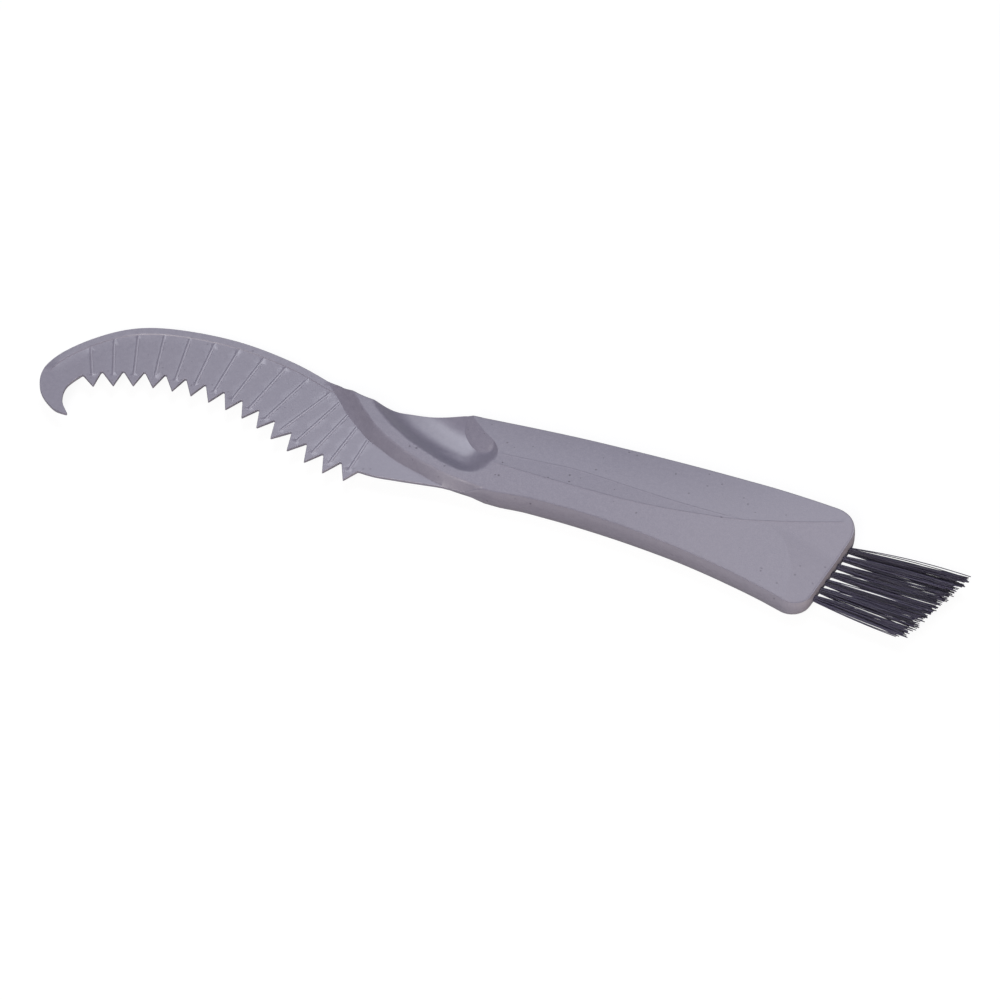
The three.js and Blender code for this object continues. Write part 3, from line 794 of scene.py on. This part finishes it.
def newTree(name, sockets):
    tree = bpy.data.node_groups.new(name, "GeometryNodeTree")
    for label, kind in sockets:
        tree.interface.new_socket(label, in_out="INPUT", socket_type="NodeSocket" + kind)
    tree.interface.new_socket("Geometry", in_out="OUTPUT", socket_type="NodeSocketGeometry")
    w = Wire(tree)
    return tree, w, w.node("NodeGroupInput", {}, {})


def grow(tree, maker, values):
    # Runs the tree once and leaves a plain mesh.
    scene.collection.objects.link(maker)
    modifier = maker.modifiers.new("make", "NODES")
    modifier.node_group = tree
    for item in tree.interface.items_tree:
        if item.name in values:
            modifier[item.identifier] = values[item.name]
    graph = bpy.context.evaluated_depsgraph_get()
    made = bpy.data.meshes.new_from_object(maker.evaluated_get(graph), depsgraph=graph)
    maker.modifiers.remove(modifier)
    maker.data = made
    return maker


def store(w, geometry, name, kind, value):
    return w.node("GeometryNodeStoreNamedAttribute", {"data_type": kind},
                  {"Geometry": geometry, "Name": name, "Value": value})


def mouldingTree():
    # Adds the ribs to the claw and bores the row of tuft holes.
    tree, w, given = newTree("moulding", [
        ("Geometry", "Geometry"), ("Rib lines", "Object"), ("Rib half width", "Float"), ("Rib half height", "Float"),
        ("Rib taper", "Float"), ("Row start", "Vector"), ("Row step", "Vector"), ("Holes", "Int"),
        ("Hole radius", "Float"), ("Hole depth", "Float"), ("Material", "Material")])
    lines = w.node("GeometryNodeObjectInfo", {}, {"Object": given.other("Rib lines")}, "Geometry")
    curve = w.node("GeometryNodeMeshToCurve", {}, {"Mesh": lines})
    curve = w.node("GeometryNodeResampleCurve", {}, {"Curve": curve, "Count": claw["ribRows"]})
    curve = w.node("GeometryNodeSetCurveNormal", {"mode": "Z_UP"}, {"Curve": curve})
    along = w.node("GeometryNodeSplineParameter", {}, {}, "Length")
    taper = (along / given.other("Rib taper")).math("MINIMUM", 1).math("MAXIMUM", claw["ribEnd"])
    curve = w.node("GeometryNodeSetCurveRadius", {}, {"Curve": curve, "Radius": taper})
    oval = w.node("GeometryNodeCurvePrimitiveCircle", {}, {"Resolution": claw["ribSides"], "Radius": 1.0}, "Curve")
    size = w.node("ShaderNodeCombineXYZ", {}, {
        "X": given.other("Rib half width"), "Y": given.other("Rib half height"), "Z": 1.0})
    oval = w.node("GeometryNodeTransform", {}, {"Geometry": oval, "Scale": size})
    ribs = w.node("GeometryNodeCurveToMesh", {}, {
        "Curve": curve, "Profile Curve": oval, "Scale": taper, "Fill Caps": True})
    for mark in ("grain", "wear"):
        ribs = store(w, ribs, mark, "FLOAT", claw["ribMark"])
    whole = w.node("GeometryNodeMeshBoolean", {"operation": "UNION", "solver": "MANIFOLD"}, {
        0: [given.other("Geometry"), ribs]}, "Mesh")
    places = w.node("GeometryNodeMeshLine", {"mode": "OFFSET"}, {
        "Count": given.other("Holes"), "Start Location": given.other("Row start"), "Offset": given.other("Row step")})
    drill = w.node("GeometryNodeMeshCylinder", {}, {
        "Vertices": row["holeSides"], "Radius": given.other("Hole radius"),
        "Depth": given.other("Hole depth") * 2}, "Mesh")
    drill = w.node("GeometryNodeTransform", {}, {"Geometry": drill, "Rotation": (0, math.pi / 2, 0)})
    drills = w.node("GeometryNodeInstanceOnPoints", {}, {"Points": places, "Instance": drill})
    drills = w.node("GeometryNodeRealizeInstances", {}, {"Geometry": drills})
    bored = w.node("GeometryNodeMeshBoolean", {"operation": "DIFFERENCE", "solver": "MANIFOLD"}, {
        "Mesh 1": whole, "Mesh 2": drills}, "Mesh")
    bored = w.node("GeometryNodeRealizeInstances", {}, {"Geometry": bored})
    bored = w.node("GeometryNodeSetMaterial", {}, {"Geometry": bored, "Material": given.other("Material")})
    w.node("NodeGroupOutput", {}, {"Geometry": bored})
    return tree


ribMesh = bpy.data.meshes.new("rib_lines")
ribEnds = [(*p, 0) for pair in zip(tips, np.array(claw["ribTops"])) for p in pair]
ribMesh.from_pydata(inFrame(ribEnds).tolist(), [(2 * i, 2 * i + 1) for i in range(len(tips))], [])
ribObject = bpy.data.objects.new("rib_lines", ribMesh)
scene.collection.objects.link(ribObject)

middleTuft = (row["tufts"] + 1) / 2
rowStart = inFrame((*(rowMiddle - (middleTuft - 1) * row["pitch"] * rowLine), 0))
mouldedHandle = grow(mouldingTree(), bpy.data.objects.new("moulded_handle", handleMesh), {
    "Rib lines": ribObject, "Rib half width": claw["ribWidth"] * mm, "Rib half height": claw["ribHeight"] * mm,
    "Rib taper": claw["ribTaper"] * mm, "Row start": tuple(rowStart),
    "Row step": (*(rowLine * row["pitch"] * mm), 0.0), "Holes": row["tufts"],
    "Hole radius": row["holeRadius"] * mm, "Hole depth": row["holeDepth"] * mm, "Material": lavenderPlastic})
bpy.data.objects.remove(ribObject)
markFolds(mouldedHandle.data, foldLines)
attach(mouldedHandle, "root")
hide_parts("handle")
print("handle moulded:", len(mouldedHandle.data.polygons), "faces")

# The anchors keep their solids.
for number in range(1, row["tufts"] + 1):
    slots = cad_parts[f"tuft_anchor_{number}"].data.materials
    slots.clear()
    slots.append(drawnBrass)


def filamentTree():
    # Strands packed in a disc at the root, that fan out to a ragged tip.
    tree, w, given = newTree("filaments", [
        ("Tufts", "Int"), ("First lane", "Float"), ("Strands", "Int"), ("Seed", "Int"), ("Row middle", "Vector"),
        ("Row step", "Vector"), ("Tip middle", "Vector"), ("Tip step", "Vector"), ("Pack radius", "Float"),
        ("Tip half width", "Float"), ("Tip half height", "Float"), ("Tip skew", "Float"), ("Ragged", "Float"),
        ("Stray", "Float"), ("Strand radius", "Float"), ("Material", "Material")])
    number = w.node("GeometryNodeInputIndex", {}, {})
    strands = given.other("Strands")
    lane = (number / strands).math("FLOOR") + given.other("First lane")
    turn = number.math("MODULO", strands)
    reach = ((turn + 0.5) / strands).math("SQRT")

    def chance(low, high, shift):
        return w.node("FunctionNodeRandomValue", {"data_type": "FLOAT"}, {
            "Min": low, "Max": high, "ID": number, "Seed": given.other("Seed") + shift})

    def vector(x, y, z):
        return w.node("ShaderNodeCombineXYZ", {}, {"X": x, "Y": y, "Z": z})

    def vectors(operation, first, second):
        key = {"operation": operation}
        return w.node("ShaderNodeVectorMath", key, {0: first, ("Scale" if operation == "SCALE" else 1): second})

    angle = turn * tuft["spiral"] + chance(-tuft["jitter"], tuft["jitter"], 1)
    across, up = reach * angle.math("COSINE"), reach * angle.math("SINE")
    pack = given.other("Pack radius")
    start = vectors("ADD", given.other("Row middle"), vectors("SCALE", given.other("Row step"), lane))
    start = vectors("ADD", start, vector(-tuft["rootIn"] * mm, across * pack, up * pack))
    wide, tall = across * given.other("Tip half width"), up * given.other("Tip half height")
    stray = given.other("Stray")
    sway, lift = chance(-1, 1, 2), chance(-1, 1, 3)
    wide = wide + sway.math("POWER", 3) * stray
    tall = tall + lift.math("POWER", 3) * stray
    short = chance(-1, 1, 4) * given.other("Ragged")
    finish = vectors("ADD", given.other("Tip middle"), vectors("SCALE", given.other("Tip step"), lane))
    finish = vectors("ADD", finish, vector(wide * given.other("Tip skew") + short, wide, tall))
    points = w.node("GeometryNodePoints", {}, {"Count": given.other("Tufts") * strands})
    points = store(w, points, "start", "FLOAT_VECTOR", start)
    points = store(w, points, "finish", "FLOAT_VECTOR", finish)
    points = store(w, points, "tone", "FLOAT", chance(0.0, 1.0, 5))
    bow = tuft["bow"] * mm
    points = store(w, points, "bow", "FLOAT_VECTOR", vector(0.0, chance(-bow, bow, 6), chance(-bow, bow, 7)))
    strand = w.node("GeometryNodeCurvePrimitiveLine", {}, {})
    strand = w.node("GeometryNodeResampleCurve", {}, {"Curve": strand, "Count": tuft["rows"]})
    many = w.node("GeometryNodeInstanceOnPoints", {}, {"Points": points, "Instance": strand})
    many = w.node("GeometryNodeRealizeInstances", {}, {"Geometry": many})
    kept = lambda name: w.node("GeometryNodeInputNamedAttribute", {"data_type": "FLOAT_VECTOR"}, {"Name": name})
    along = w.node("GeometryNodeSplineParameter", {}, {}, "Factor")
    fan = 1 - (1 - along).math("POWER", tuft["fan"])
    belly = (along * math.pi).math("SINE")
    run = vectors("SUBTRACT", kept("finish"), kept("start"))
    place = vectors("ADD", kept("start"), vectors("MULTIPLY", run, vector(along, fan, fan)))
    place = vectors("ADD", place, vectors("SCALE", kept("bow"), belly))
    many = w.node("GeometryNodeSetPosition", {}, {"Geometry": many, "Position": place})
    ring = w.node("GeometryNodeCurvePrimitiveCircle", {}, {
        "Resolution": tuft["sides"], "Radius": given.other("Strand radius")}, "Curve")
    mesh = w.node("GeometryNodeCurveToMesh", {}, {"Curve": many, "Profile Curve": ring, "Fill Caps": True})
    mesh = w.node("GeometryNodeRealizeInstances", {}, {"Geometry": mesh})
    mesh = w.node("GeometryNodeSetMaterial", {}, {"Geometry": mesh, "Material": given.other("Material")})
    w.node("NodeGroupOutput", {}, {"Geometry": mesh})
    return tree


brushTree = filamentTree()
skew = math.tan(math.radians(tuft["tipSkew"]))
tipMiddle = rowMiddle + [tuft["reach"], tuft["tipDrift"]]
for first in range(1, row["tufts"] + 1, tuft["perNode"]):
    count = min(tuft["perNode"], row["tufts"] + 1 - first)
    label = "_".join(str(first + k) for k in range(count))
    name = "filaments_" + label
    tuftObject = grow(brushTree, bpy.data.objects.new(name, bpy.data.meshes.new(name)), {
        "Tufts": count, "First lane": first - middleTuft, "Strands": tuft["strands"],
        "Seed": tuft["seed"] + tuft["seedStep"] * first,
        "Row middle": tuple(inFrame((*rowMiddle, 0))), "Row step": (*(rowLine * row["pitch"] * mm), 0.0),
        "Tip middle": tuple(inFrame((*tipMiddle, 0))),
        "Tip step": (tuft["tipPitch"] * skew * mm, tuft["tipPitch"] * mm, 0.0), "Pack radius": tuft["pack"] * mm,
        "Tip half width": tuft["tipWidth"] * mm, "Tip half height": tuft["tipHeight"] * mm, "Tip skew": skew,
        "Ragged": tuft["ragged"] * mm, "Stray": tuft["stray"] * mm, "Strand radius": tuft["strandRadius"] * mm,
        "Material": darkNylon})
    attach(tuftObject, "root")
    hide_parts("bristle_tufts_" + label)
    print("filaments made:", label, len(tuftObject.data.polygons), "faces")


# A white table with a faint shadow, and soft light from above.
stage = {
    "size": 5.0, "shadow": 0.14, "glow": 1.06, "bounce": (166, 166, 168), "tableDark": (236, 236, 238),
    "tablePale": (244, 244, 245), "cloudScale": 9.0, "sky": (214, 220, 242), "ambient": 0.1,
}
lamps = {
    "key": {"az": 0, "el": 41, "away": 0.85, "size": (0.45, 0.45), "watts": 5.9, "colour": (255, 250, 246)},
    "far_window": {"az": 193, "el": 61, "away": 0.9, "size": (0.5, 0.5), "watts": 3.9, "colour": (243, 246, 255)},
    "end_side": {"az": 80, "el": 6, "away": 0.8, "size": (0.4, 0.15), "watts": 2.4, "colour": (255, 240, 222)},
}
# The camera, from the near right and above, as in the photo.
view = {"az": 21.3, "el": 52, "away": 0.7, "aim": (-22, -1.3, 0), "lens": 104.227, "sensor": 36, "clip": 0.01}


def tableMaterial():
    material, w = shade("white_table")
    place = w.node("ShaderNodeTexCoord", {}, {}, "Object")
    cloud = w.node("ShaderNodeTexNoise", {}, {"Vector": place, "Scale": stage["cloudScale"], "Detail": 2})
    colour = mixColours(w, cloud, linear4(stage["tableDark"]), linear4(stage["tablePale"]))
    soft = w.node("ShaderNodeBsdfDiffuse", {}, {"Color": colour})
    glow = w.node("ShaderNodeEmission", {}, {"Color": (1, 1, 1, 1), "Strength": stage["glow"]})
    lit = w.node("ShaderNodeMixShader", {}, {0: 1 - stage["shadow"], 1: soft, 2: glow})
    path = w.node("ShaderNodeLightPath", {}, {}, "Is Camera Ray")
    dim = w.node("ShaderNodeBsdfDiffuse", {}, {"Color": linear4(stage["bounce"])})
    coat(w, w.node("ShaderNodeMixShader", {}, {0: path, 1: dim, 2: lit}))
    return material


tableMesh = bpy.data.meshes.new("table")
half = stage["size"] / 2
tableMesh.from_pydata([(-half, -half, 0), (half, -half, 0), (half, half, 0), (-half, half, 0)], [], [(0, 1, 2, 3)])
tableMesh.materials.append(tableMaterial())
table = bpy.data.objects.new("table", tableMesh)
scene.collection.objects.link(table)
table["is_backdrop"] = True

world = bpy.data.worlds.new("studio")
world.use_nodes = True
sky = world.node_tree.nodes["Background"].inputs
sky["Color"].default_value = linear4(stage["sky"])
sky["Strength"].default_value = stage["ambient"]
scene.world = world


def aimed(name, data, values, at):
    # A lamp or camera that looks at a point, placed by its angles in degrees.
    az, el = math.radians(values["az"]), math.radians(values["el"])
    back = Vector((math.sin(az) * math.cos(el), -math.cos(az) * math.cos(el), math.sin(el)))
    made = bpy.data.objects.new(name, data)
    made.location = at + back * values["away"]
    made.rotation_euler = back.to_track_quat("Z", "Y").to_euler()
    scene.collection.objects.link(made)
    return made


for name, values in lamps.items():
    light = bpy.data.lights.new(name, "AREA")
    light.shape = "RECTANGLE"
    light.size, light.size_y = values["size"]
    light.energy = values["watts"]
    light.color = linear(*values["colour"])
    shown = aimed(name, light, values, Vector())
    shown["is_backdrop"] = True

eye = bpy.data.cameras.new("camera")
eye.lens, eye.sensor_width, eye.clip_start = view["lens"], view["sensor"], view["clip"]
scene.camera = aimed("camera", eye, view, Vector(inFrame(view["aim"])))

low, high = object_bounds()
print("stage set")
